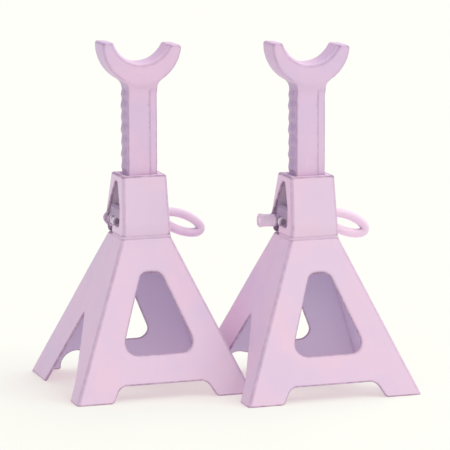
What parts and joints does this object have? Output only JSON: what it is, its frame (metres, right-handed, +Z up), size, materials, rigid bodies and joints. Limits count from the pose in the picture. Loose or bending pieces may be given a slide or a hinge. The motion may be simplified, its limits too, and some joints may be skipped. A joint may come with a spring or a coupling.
{
  "type": "axle stands",
  "caption": "Pair of ratchet axle stands with pyramid legs, slotted collars, toothed bars with U saddles, and looped handles that release the pawls.",
  "frame": {"origin": "on the floor, midway between the two stands, at the bottom centre of the pair's bounding box", "axes": "+Z up; +X from the left stand to the right stand; the fronts face -Y"},
  "size_m": [0.353, 0.244, 0.3625],
  "materials": {
    "painted_plate": "satin pale lilac paint on pressed steel",
    "painted_casting": "satin pale lilac paint on cast iron",
    "bare_steel": "zinc-plated steel"
  },
  "bodies": {
    "left_stand": {"left_front_leg_plate": "painted_plate", "left_back_leg_plate": "painted_plate", "left_collar": "painted_plate", "left_top_guide": "painted_plate", "left_neck_plate": "painted_plate", "left_guide_channel": "painted_plate", "left_pivot_boss": "painted_plate", "left_pivot_pin": "bare_steel", "left_pivot_spacers": "bare_steel"},
    "left_bar": {"left_ratchet_bar": "painted_casting", "left_stop_pin": "bare_steel"},
    "left_lever": {"left_pawl": "painted_casting", "left_handle": "painted_plate"},
    "right_stand": {"right_front_leg_plate": "painted_plate", "right_back_leg_plate": "painted_plate", "right_collar": "painted_plate", "right_top_guide": "painted_plate", "right_neck_plate": "painted_plate", "right_guide_channel": "painted_plate", "right_pivot_boss": "painted_plate", "right_pivot_pin": "bare_steel", "right_pivot_spacers": "bare_steel"},
    "right_bar": {"right_ratchet_bar": "painted_casting", "right_stop_pin": "bare_steel"},
    "right_lever": {"right_pawl": "painted_casting", "right_handle": "painted_plate"}
  },
  "joints": [
    {"name": "left_bar_slide", "type": "slide", "parent": "left_stand", "child": "left_bar", "axis": [0, 0, 1], "range_m": [-0.0889, 0.0635]},
    {"name": "left_handle_lift", "type": "hinge", "parent": "left_stand", "child": "left_lever", "pos_m": [-0.1015, 0.055, 0.171], "axis": [0, -1, 0], "range_deg": [0, 16]},
    {"name": "right_bar_slide", "type": "slide", "parent": "right_stand", "child": "right_bar", "axis": [0, 0, 1], "range_m": [-0.0889, 0.0635]},
    {"name": "right_handle_lift", "type": "hinge", "parent": "right_stand", "child": "right_lever", "pos_m": [0.0615, -0.007, 0.171], "axis": [0, -1, 0], "range_deg": [0, 16]},
    {"name": "right_stand_spacing", "type": "slide", "parent": "left_stand", "child": "right_stand", "axis": [1, 0, 0], "range_m": [0, 0.6]}
  ]
}
